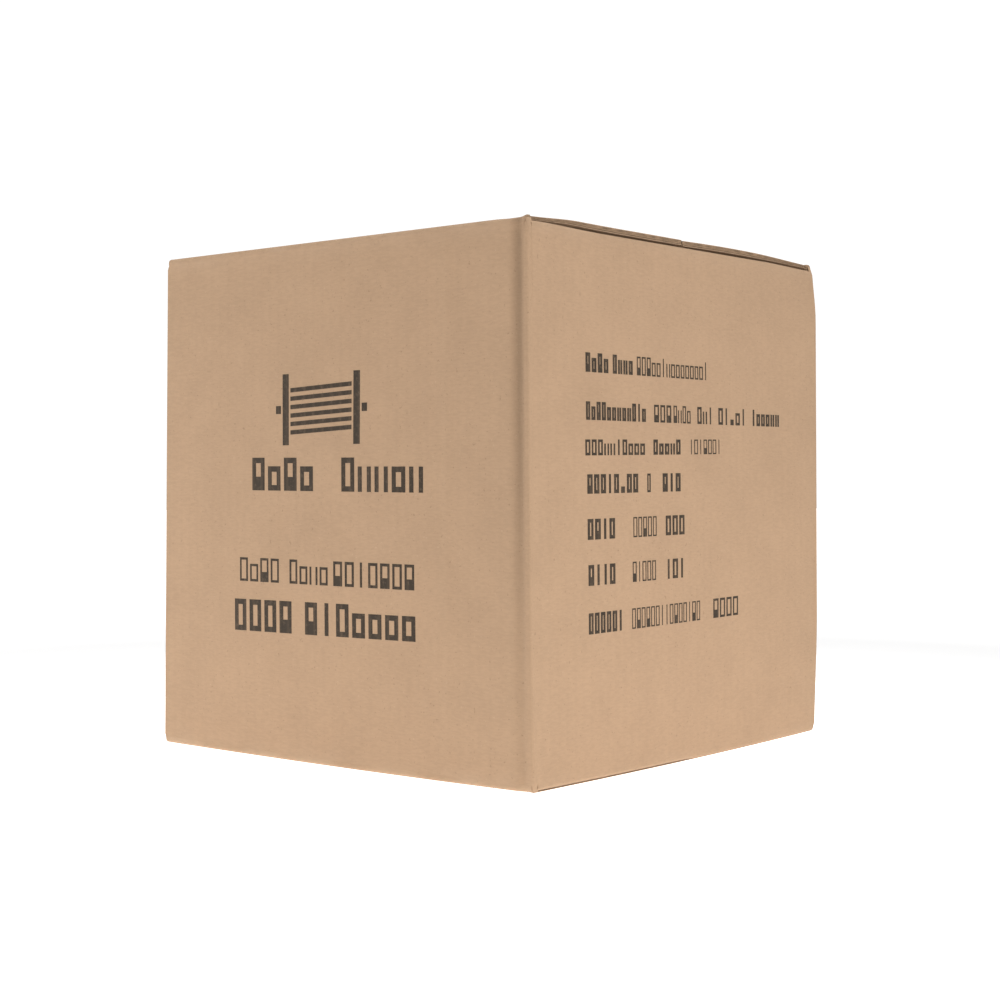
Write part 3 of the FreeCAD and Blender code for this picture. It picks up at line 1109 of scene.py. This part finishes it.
    def side_wall(self, side: Side) -> None:
        """A left or right wall, whose liner turns over both inner flaps and sags at the floor.

        Args:
            side: The wall.
        """
        low, high, fold = BOARD, WALL_TOP, self.fold
        middle = spaced(low + fold, high - fold, self.wall_rows)
        wall = np.stack([np.full(len(middle), BOX_HALF), middle], -1)
        curve = np.vstack([[[self.flap_start, low]], arc((BOX_HALF - fold, low + fold), fold, -90, -9, 8), wall,
                           arc((BOX_HALF - fold, high - fold), fold, 9, 90, 8), [[self.flap_start, high]]])
        along = spaced(-(BOX_HALF - BOARD), BOX_HALF - BOARD, 1.6)
        heights, places = np.meshgrid(curve[:, 1], along, indexing="ij")
        relief = CREASES.relief(side, places, heights)
        wear_and_shade = CREASES.wear_and_shade(side, places, heights)
        sag = self.sag[0] + self.sag[1] * smooth(along, -6, 10)

        def hang(out: Array, height: Array, where: Array) -> Array:
            """Places the liner, drawn down over the outer flap's edge at the foot and crowned at the head."""
            lowered = (1 - smooth(height, low, low + 30)) * smooth(out, self.outer_half - 0.9, BOX_HALF - 0.9)
            crown = smooth(height, high - 16, high) * smooth(out, 148, 153) * (1 - smooth(where, 95, 151))
            return side.place(where, out, height - lowered * sag + self.crown * crown)

        outer = skin(curve, along, hang, BOARD_KIND.liner, relief, wear_and_shade)
        inside = self.wall_inside(side, low * 2, high - BOARD, BOX_HALF - BOARD)
        self.board(f"{side.tag}_wall", join([outer, inside]), self.side)

    def inner_flap(self, side: Side, top: bool) -> None:
        """An inner flap, lying flat against the outer ones.

        Args:
            side: The wall that it folds from.
            top: Whether it is at the head of the carton.
        """
        face = WALL_TOP if top else BOARD
        rise = 1 if top else -1
        surface = BOARD_KIND.flat(
            spaced(-self.inner_half, self.inner_half, FINE), spaced(self.flap_free, self.flap_start, MEDIUM_STEP),
            lambda u, v, up: side.place(u, v, face - rise * (BOARD - up)))
        self.board(f"{side.tag}_{'top' if top else 'bottom'}_flap", surface, self.side)

    def bottom_flap(self, side: Side) -> None:
        """An outer bottom flap, pressed flat by the reel's weight.

        Args:
            side: The wall that it folds from.
        """
        surface = BOARD_KIND.flat(
            spaced(-self.outer_half, self.outer_half, FINE), spaced(self.flap_free, self.flap_start, MEDIUM_STEP),
            lambda u, v, up: side.place(u, v, BOARD - up))
        self.board(f"{side.tag}_bottom_flap", surface, self.front)

    def bow(self, side: Side, out: Array) -> Array:
        """How far an outer top flap lifts over flat.

        The front flap drops in an S near its wall. The back flap follows a slope and a half sine.

        Args:
            side: The flap's wall.
            out: Distance out from the carton's middle.

        Returns:
            The lift at each point.
        """
        share = np.clip(out / self.flap_start, 0, 1)
        if side is Side.FRONT:
            return self.bow_clear + self.bow_front * (1 - smooth(share, 0.7, 1.0))
        return self.bow_clear + self.bow_back * (1 - share) + self.bow_arch * np.sin(np.pi * share)

    def top_flap(self, side: Side) -> None:
        """An outer top flap, bowed, with its cut side edges crushed thinner than the board.

        Args:
            side: The wall that it folds from.
        """
        def place(u: Array, v: Array, up: Array) -> Array:
            """Squeezes the board towards a share of its thickness at the cut edges and adds the bow."""
            squeeze = hump(self.outer_half - np.abs(u), 0, 5.0) * (0.2 + 0.3 * hump(v, self.flap_start, 45))
            height = WALL_TOP + up + (BOARD * 0.62 - up) * squeeze
            return side.place(u, v, height + self.bow(side, v))

        surface = BOARD_KIND.flat(
            np.unique(np.concatenate([spaced(-self.outer_half, self.outer_half, FINE / 2),
                                      [-self.outer_half + 0.7, self.outer_half - 0.7]])),
            spaced(self.flap_free, self.flap_start, 5.0), place,
            lambda u, v: 0.03 * np.sin(2 * np.pi * u / BOARD_KIND.pitch) + 0.12 * ripple(u, v, 31, 200.0)
            * smooth(self.flap_start - v, 0, 12))
        name = f"{side.tag}_top_flap"
        self.board(name, surface, self.front, name)

    def top_fold(self, side: Side) -> None:
        """The crushed strip between a wall and its top flap.

        Its section runs from the wall's inner edge out, up round the fold, along the flap's face, and back.

        Args:
            side: The wall.
        """
        low, fold = WALL_TOP, self.fold
        centre = (BOX_HALF - fold, BOX_HEIGHT - fold)
        ring = np.vstack([[[BOX_HALF - BOARD, low], [BOX_HALF - BOARD / 2, low], [BOX_HALF, low]],
                          arc(centre, fold, 0, 42, 4), arc(centre, fold, 64, 90, 3),
                          [[self.flap_start, BOX_HEIGHT], [self.flap_start, BOX_HEIGHT - BOARD / 2],
                           [self.flap_start, low]]])
        rows = spaced(-self.outer_half, self.outer_half, 2.0)
        out, along = np.meshgrid(ring[:, 0], rows, indexing="ij")
        height = np.broadcast_to(ring[:, 1:], out.shape)
        # Pale rubbing along the fold, painted shade at its open ends, and on the front painted shade in the joint's
        # groove.
        wear_and_shade = 0.12 * (1 + ripple(along, height, 41, 60.0)) - 0.35 * (np.abs(along) > self.outer_half - 1)
        if side is Side.FRONT:
            wear_and_shade = wear_and_shade - 0.45 * SETTLING.groove(along, height)
        piece = self.maker.make(f"{side.tag}_top_fold", tube(side.place(along, out, height), wear_and_shade), self.front, None,
                                "kraft_board")
        start, end = ((0.0, side.value[1] * (BOX_HALF - depth) * MM, (low + depth) * MM)
                      for depth in (BOARD / 2, (BOX_HALF - self.flap_start) / 2))
        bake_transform(piece)
        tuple(start)
        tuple(end)

    def glue_tab(self) -> None:
        """The glue tab, inside the front wall."""
        low, high = extent("glue_tab")
        surface = BOARD_KIND.flat(
            spaced(low[0], high[0], FINE), spaced(low[2], high[2], COARSE),
            lambda u, v, up: Side.FRONT.place(u, BOX_HALF - BOARD * 2 + up, v))
        self.board("glue_tab", surface, self.front)

    def payout_tab(self) -> None:
        """The pull-out tongue: rows as wide as the arch at their height, and a foot that is round inside."""
        (_, _, low), (half, _, high) = extent("payout_tab")
        turn = np.radians(np.linspace(0, 88, 14))
        rows = np.concatenate([spaced(low, self.hole_shoulder, 2.5)[:-1], self.hole_shoulder + half * np.sin(turn)])
        width = np.where(rows <= self.hole_shoulder, half,
                         np.sqrt(np.maximum(half**2 - (rows - self.hole_shoulder) ** 2, 0.01)))
        share, height = np.meshgrid(np.linspace(-1, 1, 25), rows, indexing="ij")
        along = share * width
        reach = BOARD - 1.0
        inner = BOX_HALF - 1.0 - np.sqrt(np.maximum(reach**2 - np.clip(low + reach - height, 0, reach) ** 2, 0.0))
        edge = np.minimum(width - np.abs(along), high - height)
        # Painted shade: a thin dark line along the tongue's cut rim.
        outer = shell(Side.BACK.place(along, BOX_HALF + along * 0, height), Side.BACK.place(along, inner, height),
                      -0.25 * hump(edge, 0, 0.8))
        self.board("payout_tab", outer, self.front, "payout_tab")


# --- print ----------------------------------------------------------------------------------------


class Glyph(Enum):
    """Plain shapes that stand for print, as (left, low, right, high) strokes in a cell of 1 by 1."""

    BAR = "bar"
    TALL_BOX = "tall_box"
    LOW_BOX = "low_box"
    BLOCK = "block"
    HALF_FILLED = "half_filled"
    PAIR = "pair"

    def strokes(self, pen: float, aspect: float) -> list[tuple[float, float, float, float]]:
        """The glyph's rectangles.

        Args:
            pen: The stroke's width as a share of the cell's width.
            aspect: The cell's width over its height.

        Returns:
            Rectangles in the cell.
        """
        flat = pen * aspect
        if self is Glyph.BAR:
            return [(0.5 - pen / 2, 0.0, 0.5 + pen / 2, 1.0)]
        if self is Glyph.BLOCK:
            return [(0.12, 0.0, 0.88, 0.34)]
        if self is Glyph.PAIR:
            return [(0.0, 0.0, pen, 0.74), (1 - pen, 0.0, 1.0, 0.74)]
        top = 0.74 if self is Glyph.LOW_BOX else 1.0
        filling = [(pen, flat, 1 - pen, 0.42)] if self is Glyph.HALF_FILLED else []
        uprights = [(0.0, 0.0, pen, top), (1 - pen, 0.0, 1.0, top)]
        return filling + uprights + [(pen, 0.0, 1 - pen, flat), (pen, top - flat, 1 - pen, top)]


@dataclass(frozen=True)
class Word:
    """A run of glyphs between two places on a line."""

    start: float
    stop: float
    count: int
    pen: float = 0.24
    capital: bool = False


@dataclass(frozen=True)
class Line:
    """One line of print: the height of its foot, the height of its tall glyphs, and its words."""

    foot: float
    tall: float
    words: tuple[Word, ...]
    slope: float = 0.0


FRONT_LINES = (
    Line(168.1, 20.5, (Word(-69, -11, 4, 0.25), Word(10.5, 79.5, 5, 0.25)), -0.008),
    Line(110.6, 15.0, (Word(-81, -43, 4, 0.17), Word(-35.5, 0, 4, 0.19), Word(3, 71.5, 7, 0.19, True)), -0.004),
    Line(79.1, 20.0, (Word(-86, -31, 4, 0.26, True), Word(-22, 73, 7, 0.25)), 0.006),
)
RIGHT_LINES = (
    Line(236.1, 11.2, (Word(-103, -80, 4, 0.36), Word(-77, -56, 4, 0.36), Word(-53, 24, 15, 0.21))),
    Line(208.6, 10.6, (Word(-103, -43, 12, 0.36), Word(-35.5, -16, 3, 0.22, True), Word(-15, 4.5, 4, 0.22),
                       Word(11, 29.5, 3, 0.26), Word(35, 68.5, 5, 0.26), Word(74.5, 108, 6, 0.34))),
    Line(188.1, 9.2, (Word(-104, -44, 10, 0.27), Word(-36.5, -6.5, 5, 0.32), Word(2, 38.5, 7, 0.17, True)), 0.014),
    Line(166.1, 11.2, (Word(-102.5, -51, 8, 0.34, True), Word(-43, -38.5, 1, 0.3),
                       Word(-27, -6.5, 3, 0.34, True)), 0.008),
    Line(139.6, 12.0, (Word(-102.5, -74.5, 4, 0.32, True), Word(-57.5, -32.5, 5, 0.18, True),
                       Word(-24, -2.5, 3, 0.28, True)), 0.008),
    Line(113.1, 12.0, (Word(-102, -74.5, 4, 0.32, True), Word(-58.5, -33.5, 5, 0.18, True),
                       Word(-24, -2.5, 3, 0.28, True)), 0.008),
    Line(85.1, 12.2, (Word(-102, -67.5, 6, 0.34, True), Word(-59.5, 14, 15, 0.18, True),
                      Word(28, 58.5, 4, 0.2, True)), 0.012),
)


@dataclass
class Print:
    """The carton's print, as plain generic shapes with no letters: lines of glyphs and a reel pictogram."""

    maker: Maker
    lift: float = 0.07
    cell: float = 2.2
    seed: int = 100
    pen_scale: float = 1.22
    glyph_width: float = 0.78
    tall_odds: tuple[float, ...] = (0.14, 0.60, 0.0, 0.02, 0.24, 0.0)
    low_odds: tuple[float, ...] = (0.15, 0.17, 0.42, 0.03, 0.06, 0.17)

    def bar(self, side: Side, left: float, low: float, right: float, high: float, slope: float = 0.0,
            origin: float = 0.0) -> Surface:
        """A printed rectangle that follows the wall's own surface.

        Args:
            side: The wall.
            left: Its start along the wall.
            low: Its foot's height.
            right: Its end along the wall.
            high: Its top's height.
            slope: Rise of the line with distance.
            origin: Where along the wall the slope starts.

        Returns:
            A film of ink.
        """
        u = spaced(left, right, self.cell)
        v = spaced(low, high, self.cell)
        along, height = np.meshgrid(u, v, indexing="ij")
        height = height + slope * (along - origin)
        ground = BOX_HALF + CREASES.relief(side, along, height)
        return shell(side.place(along, ground + self.lift, height), side.place(along, ground - self.lift, height))

    def line(self, side: Side, line: Line, seed: int) -> Surface:
        """One line of glyphs, chosen by a seeded draw so that no run means anything.

        Args:
            side: The wall.
            line: The line's sizes and words.
            seed: Chooses the glyphs.

        Returns:
            All of the line's ink.
        """
        rng = np.random.default_rng(seed)
        start = line.words[0].start
        parts = []
        for word in line.words:
            pitch = (word.stop - word.start) / word.count
            for place in range(word.count):
                tall = word.capital or place == 0
                glyph = list(Glyph)[rng.choice(len(Glyph), p=self.tall_odds if tall else self.low_odds)]
                wide = pitch * self.glyph_width
                left = word.start + pitch * place
                parts += [self.bar(side, left + wide * a, line.foot + line.tall * b, left + wide * c,
                                   line.foot + line.tall * d, line.slope, start)
                          for a, b, c, d in glyph.strokes(word.pen * self.pen_scale, wide / line.tall)]
        return join(parts)

    def pictogram(self) -> Surface:
        """A cable reel seen from its side: two flanges, slanted turns between them, and the axle's ends.

        Returns:
            The picture's ink.
        """
        flanges = [(-41.0, 196.0, -35.5, 240.0), (20.5, 196.0, 26.0, 240.0)]
        axle = [(-47.0, 215.5, -42.5, 220.5), (27.5, 215.5, 32.0, 220.5)]
        left, right, foot, step, thick, slant, turns = -34.0, 19.0, 202.5, 5.2, 2.7, 0.045, 6
        parts = [self.bar(Side.FRONT, *box) for box in flanges + axle]
        parts += [self.bar(Side.FRONT, left, low, right, low + thick, slant, left)
                  for low in (foot + step * turn for turn in range(turns))]
        return join(parts)

    def build(self) -> None:
        """Prints both walls."""
        for side, lines, kraft in ((Side.FRONT, FRONT_LINES, FRONT_KRAFT), (Side.RIGHT, RIGHT_LINES, SIDE_KRAFT)):
            ink = Ink(f"ink_{side.tag}", kraft).material()
            for number, line in enumerate(lines, start=1):
                self.maker.make(f"print_{side.tag}_line_{number}", self.line(side, line, self.seed + number), ink,
                                "carton", "kraft_board")
            if side is Side.FRONT:
                self.maker.make("print_reel_pictogram", self.pictogram(), ink, "carton", "kraft_board")


# --- pads and reel --------------------------------------------------------------------------------


@dataclass
class Reel:
    """The pads, the axle and the reel with its wound cable."""

    maker: Maker
    cable: float = 6.2
    layer: float = 5.5
    core: float = 60.0
    layers: int = 12
    last_turns: int = 16
    climb: float = 0.35
    snug: float = 0.975
    pad_hole: float = 11.2
    pad_gap: float = 0.25

    def build(self) -> None:
        """Makes the cable and dresses the CAD nodes whose shape is right."""
        pad = PAD_KRAFT.material()
        for name in ("bottom_pad", "top_pad"):
            low, high = extent(name)
            surface = BOARD_KIND.flat(spaced(low[0], high[0], FINE), spaced(low[1], high[1], COARSE),
                                      lambda u, v, up: np.stack([u, v, low[2] + up], -1))
            self.maker.make(f"{name}_board", surface, pad, "carton", "pad_board", [name])
        card = Moulded("card_tube", (0.40, 0.27, 0.17, 1.0), 0.8, grain=260.0, depth=0.1 * MM).material()
        for side in (Side.LEFT, Side.RIGHT):
            self.end_pad(side, pad)
        dressed = {"axle_tube": card, "core_tube": card, "left_flange": Plywood().material()}
        dressed["right_flange"] = dressed["left_flange"]
        bush = Moulded("bush_plastic", (0.80, 0.80, 0.76, 1.0), 0.45).material()
        zinc = Moulded("zinc_steel", (0.62, 0.62, 0.60, 1.0), 0.38, metal=1.0, grain=700.0).material()
        dressed |= {"left_bush": bush, "right_bush": bush, "tie_bolts": zinc, "tie_washers": zinc, "tie_nuts": zinc,
                    "end_tape": Moulded("paper_tape", (0.72, 0.68, 0.55, 1.0), 0.6, grain=300.0).material()}
        for name, material in dressed.items():
            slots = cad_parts[name].data.materials
            slots.clear()
            slots.append(material)
            log.info("%-26s dressed", name)
        self.wound_cable()

    def end_pad(self, side: Side, finish: bpy.types.Material) -> None:
        """A pad that carries the axle, ruled from its hole to its edges, and moved with the wall it lies on.

        Args:
            side: The wall.
            finish: The pad's material.
        """
        name = f"{side.tag}_end_pad"
        low, high = extent(name)
        near, far = sorted(abs(np.array([low[0], high[0]])))
        down, up = AXLE_HEIGHT - low[2], high[2] - AXLE_HEIGHT
        angle = fan(97, [(run, rise) for run in (low[1], high[1]) for rise in (-down, up)])
        reach = to_rectangle(angle, high[1], -low[1], up, down)
        ring = self.pad_hole + (reach - self.pad_hole)[:, None] * np.linspace(0, 1, 16)
        along, height = ring * np.cos(angle)[:, None], AXLE_HEIGHT + ring * np.sin(angle)[:, None]
        surface = shell(side.place(along, far - self.pad_gap, height), side.place(along, near, height), closed=True)
        self.maker.make(f"{name}_board", surface, finish, "carton", "pad_board", [name])

    def path(self, start: float, stop: float, steps: int) -> tuple[Array, Array, Array]:
        """The cable's centre line, as places along the axle, radii and angles, for a run of layers.

        Each layer crosses the core once, the way back from the one below it, with as many turns as cables fit
        side by side. At its start the radius climbs by one layer over a share of a turn, as an S step.

        Args:
            start: Layer number where the run starts.
            stop: Layer number where it ends. A share of a layer is a share of its turns.
            steps: Points in a turn.

        Returns:
            The three arrays.
        """
        low, high = (corner[0] for corner in extent("cable_winding"))
        turns = (high - low) / self.cable
        low, high = low + self.cable / 2, high - self.cable / 2
        turn = np.linspace(start * turns, stop * turns, int((stop - start) * turns * steps) + 1)
        layer = np.clip(np.floor(turn / turns + 1e-9), start, math.ceil(stop) - 1)
        share = turn / turns - layer
        along = low + (high - low) * np.where(layer % 2 == 0, share, 1 - share)
        climb = np.where(layer > 0, smooth(turn - layer * turns, 0, self.climb) - 1, 0)
        return along, self.core + self.cable / 2 + self.layer * (layer + climb), 2 * np.pi * turn

    def cord(self, start: float, stop: float, steps: int, sides: int) -> Surface:
        """A round cord along the centre line, with a circle of the cable's radius at each point.

        Args:
            start: Layer number where it starts.
            stop: Layer number where it ends.
            steps: Points in a turn.
            sides: Faces round the cord.

        Returns:
            The closed cord.
        """
        along, radius, turn = self.path(start, stop, steps)
        around = np.linspace(0, 2 * np.pi, sides, endpoint=False)
        half = self.cable / 2 * self.snug
        reach = radius + half * np.cos(around)[:, None]
        x = along + half * np.sin(around)[:, None]
        return tube(np.stack([x, reach * np.cos(turn), AXLE_HEIGHT + reach * np.sin(turn)], -1))

    def wound_cable(self) -> None:
        """The whole cable in its turns, in three pieces that meet end to end, and its length in the log."""
        low, high = (corner[0] for corner in extent("cable_winding"))
        last = self.layers + (self.last_turns - 1) * self.cable / (high - low - self.cable)
        jacket = Moulded("cable_jacket", (0.018, 0.018, 0.020, 1.0), 0.42, grain=500.0).material()
        pieces = (("wound_cable_lower", 0, 4, 32, 6), ("wound_cable_middle", 4, 8, 32, 6),
                  ("wound_cable_upper", 8, last, 44, 8))
        for name, start, stop, steps, sides in pieces:
            nodes = ["cable_winding"] if stop == last else []
            self.maker.make(name, self.cord(start, stop, steps, sides), jacket, "reel", "cable_jacket", nodes, 60.0)
        along, radius, turn = self.path(0, last, 64)
        metres = np.hypot(np.diff(along), radius[1:] * np.diff(turn)).sum() * MM
        log.info("cable wound: %.1f m in %.1f turns", metres, turn[-1] / (2 * math.pi))


# --- studio ---------------------------------------------------------------------------------------


def bearing(azimuth: float, elevation: float) -> Vector:
    """The way out from the carton at a bearing, with 0 to the front and 90 to the right.

    Args:
        azimuth: Degrees round.
        elevation: Degrees up.

    Returns:
        A unit vector.
    """
    turn, rise = math.radians(azimuth), math.radians(elevation)
    return Vector((math.sin(turn) * math.cos(rise), -math.cos(turn) * math.cos(rise), math.sin(rise)))


@dataclass(frozen=True)
class Softbox:
    """A square soft light aimed at the carton."""

    name: str
    azimuth: float
    elevation: float
    distance: float
    size: float
    power: float

    def hang(self) -> None:
        """Puts the light on its bearing, facing the middle of the carton."""
        away = bearing(self.azimuth, self.elevation)
        data = bpy.data.lights.new(self.name, "AREA")
        data.shape, data.size, data.energy = "SQUARE", self.size, self.power
        lamp = bpy.data.objects.new(self.name, data)
        lamp.location = away * self.distance + Vector((0, 0, AXLE_HEIGHT * MM))
        lamp.rotation_mode = "QUATERNION"
        lamp.rotation_quaternion = (-away).to_track_quat("-Z", "Y")
        bpy.context.collection.objects.link(lamp)


@dataclass(frozen=True)
class Studio:
    """A plain pale floor that glows near the carton as painted light, soft light and the camera."""

    azimuth: float = 40.03
    elevation: float = 0.712
    roll: float = -0.168
    distance: float = 1.2053
    lens: float = 64.55
    aim_right: float = 0.00303
    aim_height: float = 0.1606
    bright_to: float = 0.40
    dim_from: float = 0.75
    overhead: float = 0.12
    # The floor's emission, a painted light: glow all over, and near_glow more near the carton and far away.
    glow: float = 0.20
    near_glow: float = 0.90
    sky: float = 1.06
    floor_radius: float = 9.0
    lights: tuple[Softbox, ...] = (
        Softbox("right_softbox", 80.0, -9.0, 0.85, 0.4, 2.1),
        Softbox("left_softbox", -52.0, -4.0, 0.95, 0.4, 2.4),
        Softbox("top_softbox", 0.0, 90.0, 1.5, 0.5, 16.0),
    )

    def build(self) -> None:
        """Makes the floor, the sky, the lights and the camera."""
        self.floor()
        self.hang_sky()
        for light in self.lights:
            light.hang()
        self.camera()
        bpy.context.scene.view_settings.view_transform = "Standard"

    def hang_sky(self) -> None:
        """A white backdrop that grows dimmer overhead, by the height of the direction looked in."""
        world = bpy.data.worlds.new("studio_sky")
        bpy.context.scene.world = world
        world.use_nodes = True
        tree = world.node_tree
        nodes = {kind: tree.nodes.new(kind) for kind in
                 ("ShaderNodeTexCoord", "ShaderNodeSeparateXYZ", "ShaderNodeMapRange")}
        height = nodes["ShaderNodeMapRange"]
        for socket, value in zip(height.inputs[1:5], (self.bright_to, self.dim_from, self.sky, self.overhead)):
            socket.default_value = value
        tree.links.new(nodes["ShaderNodeTexCoord"].outputs["Generated"], nodes["ShaderNodeSeparateXYZ"].inputs[0])
        tree.links.new(nodes["ShaderNodeSeparateXYZ"].outputs["Z"], height.inputs[0])
        tree.links.new(height.outputs[0], tree.nodes["Background"].inputs["Strength"])
        tree.nodes["Background"].inputs["Color"].default_value = grey(1.0)

    def floor(self) -> None:
        """A pale disc under the carton, radius times (cos, sin) on rings. It glows most near the carton, a painted
        light that lights the carton from below, and far away.
        """
        rings = np.linspace(0.01, self.floor_radius, 60)
        turn, radius = np.meshgrid(np.linspace(0, 2 * np.pi, 97)[:-1], rings, indexing="ij")
        points = np.stack([radius * np.cos(turn), radius * np.sin(turn), radius * 0], -1)
        faces = quads(wrapped(*turn.shape))[:, [0, 3, 2, 1]]
        mesh = bpy.data.meshes.new("floor")
        mesh.from_pydata(points.reshape(-1, 3).tolist(), [], faces.tolist())
        graph = Graph("pale_glowing_floor")
        away = graph.make("ShaderNodeVectorMath", {"operation": "LENGTH"}, {0: graph.where}).outputs["Value"]
        # Painted light: the floor glows brightest within 0.25 m of the middle and fades by 0.7 m.
        glow = graph.mix(Wire(graph, away).above(0.25, 0.7), grey(self.glow + self.near_glow), grey(self.glow))
        glow = graph.mix(Wire(graph, away).above(0.8, 1.6), glow, grey(self.glow + self.near_glow))
        mesh.materials.append(graph.finish(Base_Color=grey(0.93), Roughness=0.9, Emission_Color=glow,
                                           Emission_Strength=1.0))
        floor = bpy.data.objects.new("floor", mesh)
        bpy.context.collection.objects.link(floor)

    def camera(self) -> None:
        """The camera, level with the carton's middle and a little rolled."""
        turn, roll = math.radians(self.azimuth), math.radians(self.roll)
        back = bearing(self.azimuth, self.elevation)
        right = Vector((0, 0, 1)).cross(back).normalized()
        up = back.cross(right)
        tilted = right * math.cos(roll) + up * math.sin(roll)
        aim = Vector((math.cos(turn), math.sin(turn), 0)) * self.aim_right + Vector((0, 0, self.aim_height))
        turned = Matrix((tilted, back.cross(tilted), back)).transposed().to_4x4()
        data = bpy.data.cameras.new("camera")
        data.lens, data.sensor_width = self.lens, 36.0
        data.clip_start, data.clip_end = 0.05, 60.0
        camera = bpy.data.objects.new("camera", data)
        camera.matrix_world = Matrix.Translation(aim + back * self.distance) @ turned
        bpy.context.collection.objects.link(camera)
        bpy.context.scene.camera = camera


def main() -> None:
    """Builds the carton, its print, the reel and the studio."""
    logging.basicConfig(level=logging.INFO, format="%(message)s")
    maker = Maker()
    Carton(maker, FRONT_KRAFT.material(), SIDE_KRAFT.material()).build()
    Print(maker).build()
    Reel(maker).build()
    Studio().build()
    log.info("%d pieces", maker.count)


if __name__ == "__main__":
    main()
